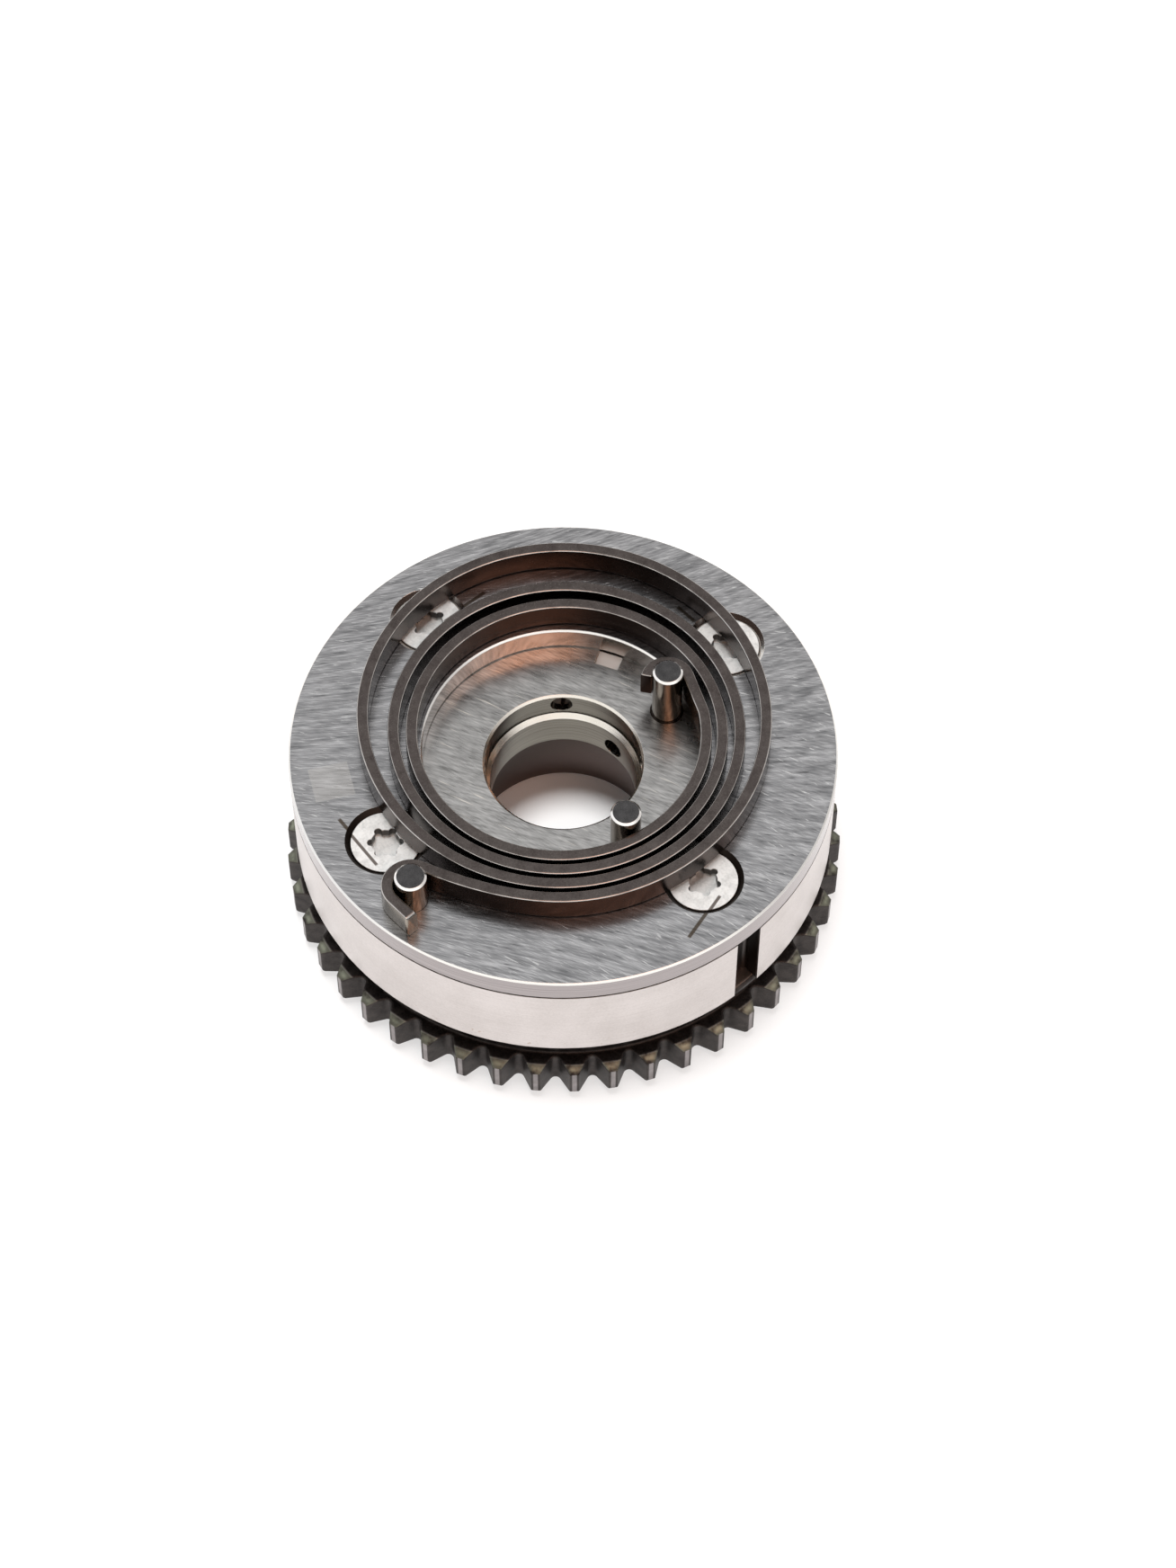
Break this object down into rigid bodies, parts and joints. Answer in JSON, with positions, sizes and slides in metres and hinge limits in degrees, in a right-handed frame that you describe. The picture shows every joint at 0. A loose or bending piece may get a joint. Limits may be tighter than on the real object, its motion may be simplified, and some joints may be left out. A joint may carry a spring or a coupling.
{
  "type": "cam phaser",
  "caption": "Round hydraulic cam phaser: a toothed chain sprocket and slotted housing with a screwed steel cover, a vaned rotor inside and a spiral return spring hooked on pins.",
  "frame": {"origin": "on the axis of rotation, in the rear face of the sprocket that the part stands on", "axes": "+Z along the axis of rotation towards the spring side, +X to the right of the picture, +Y away from its camera"},
  "size_m": [0.094, 0.094, 0.041],
  "materials": {
    "sintered_steel": "dark steam-treated sintered steel, satin",
    "machined_aluminium": "fine-turned satin aluminium",
    "ground_steel": "ground steel with short random scratches",
    "zinc_steel": "white zinc-plated steel",
    "hardened_steel": "ground and hardened steel",
    "ground_sinter": "sintered steel with a ground, glossy front face",
    "spring_strip": "oil-tempered bronze-grey strip with bright edges",
    "spring_wire": "bright spring steel",
    "seal_nylon": "dark moulded nylon"
  },
  "bodies": {
    "housing_body": {"sprocket": "sintered_steel", "lock_bush": "hardened_steel", "housing": "machined_aluminium", "front_cover": "ground_steel", "cover_screws": "zinc_steel", "anchor_pin": "hardened_steel", "bias_spring": "spring_strip", "web_seal_1": "seal_nylon", "web_seal_2": "seal_nylon", "web_seal_3": "seal_nylon", "web_seal_4": "seal_nylon", "web_seal_spring_1": "spring_wire", "web_seal_spring_2": "spring_wire", "web_seal_spring_3": "spring_wire", "web_seal_spring_4": "spring_wire"},
    "rotor_body": {"rotor": "ground_sinter", "hook_pin": "hardened_steel", "guide_pin": "hardened_steel", "lock_cap": "zinc_steel", "lock_spring": "spring_wire", "vane_seal_1": "seal_nylon", "vane_seal_2": "seal_nylon", "vane_seal_3": "seal_nylon", "vane_seal_4": "seal_nylon", "vane_seal_spring_1": "spring_wire", "vane_seal_spring_2": "spring_wire", "vane_seal_spring_3": "spring_wire", "vane_seal_spring_4": "spring_wire"},
    "lock_pin_body": {"lock_pin": "hardened_steel"}
  },
  "joints": [
    {"name": "phase", "type": "hinge", "parent": "housing_body", "child": "rotor_body", "pos_m": [0, 0, 0.0215], "axis": [0, 0, 1], "range_deg": [0, 25], "stiffness_Nm_per_rad": 1.2, "springref_deg": -22.92, "deforming": ["bias_spring"]},
    {"name": "lock", "type": "slide", "parent": "rotor_body", "child": "lock_pin_body", "axis": [0, 0, 1], "range_m": [0, 0.002], "stiffness_N_per_m": 100, "springref_m": -0.002, "deforming": ["lock_spring"]}
  ]
}
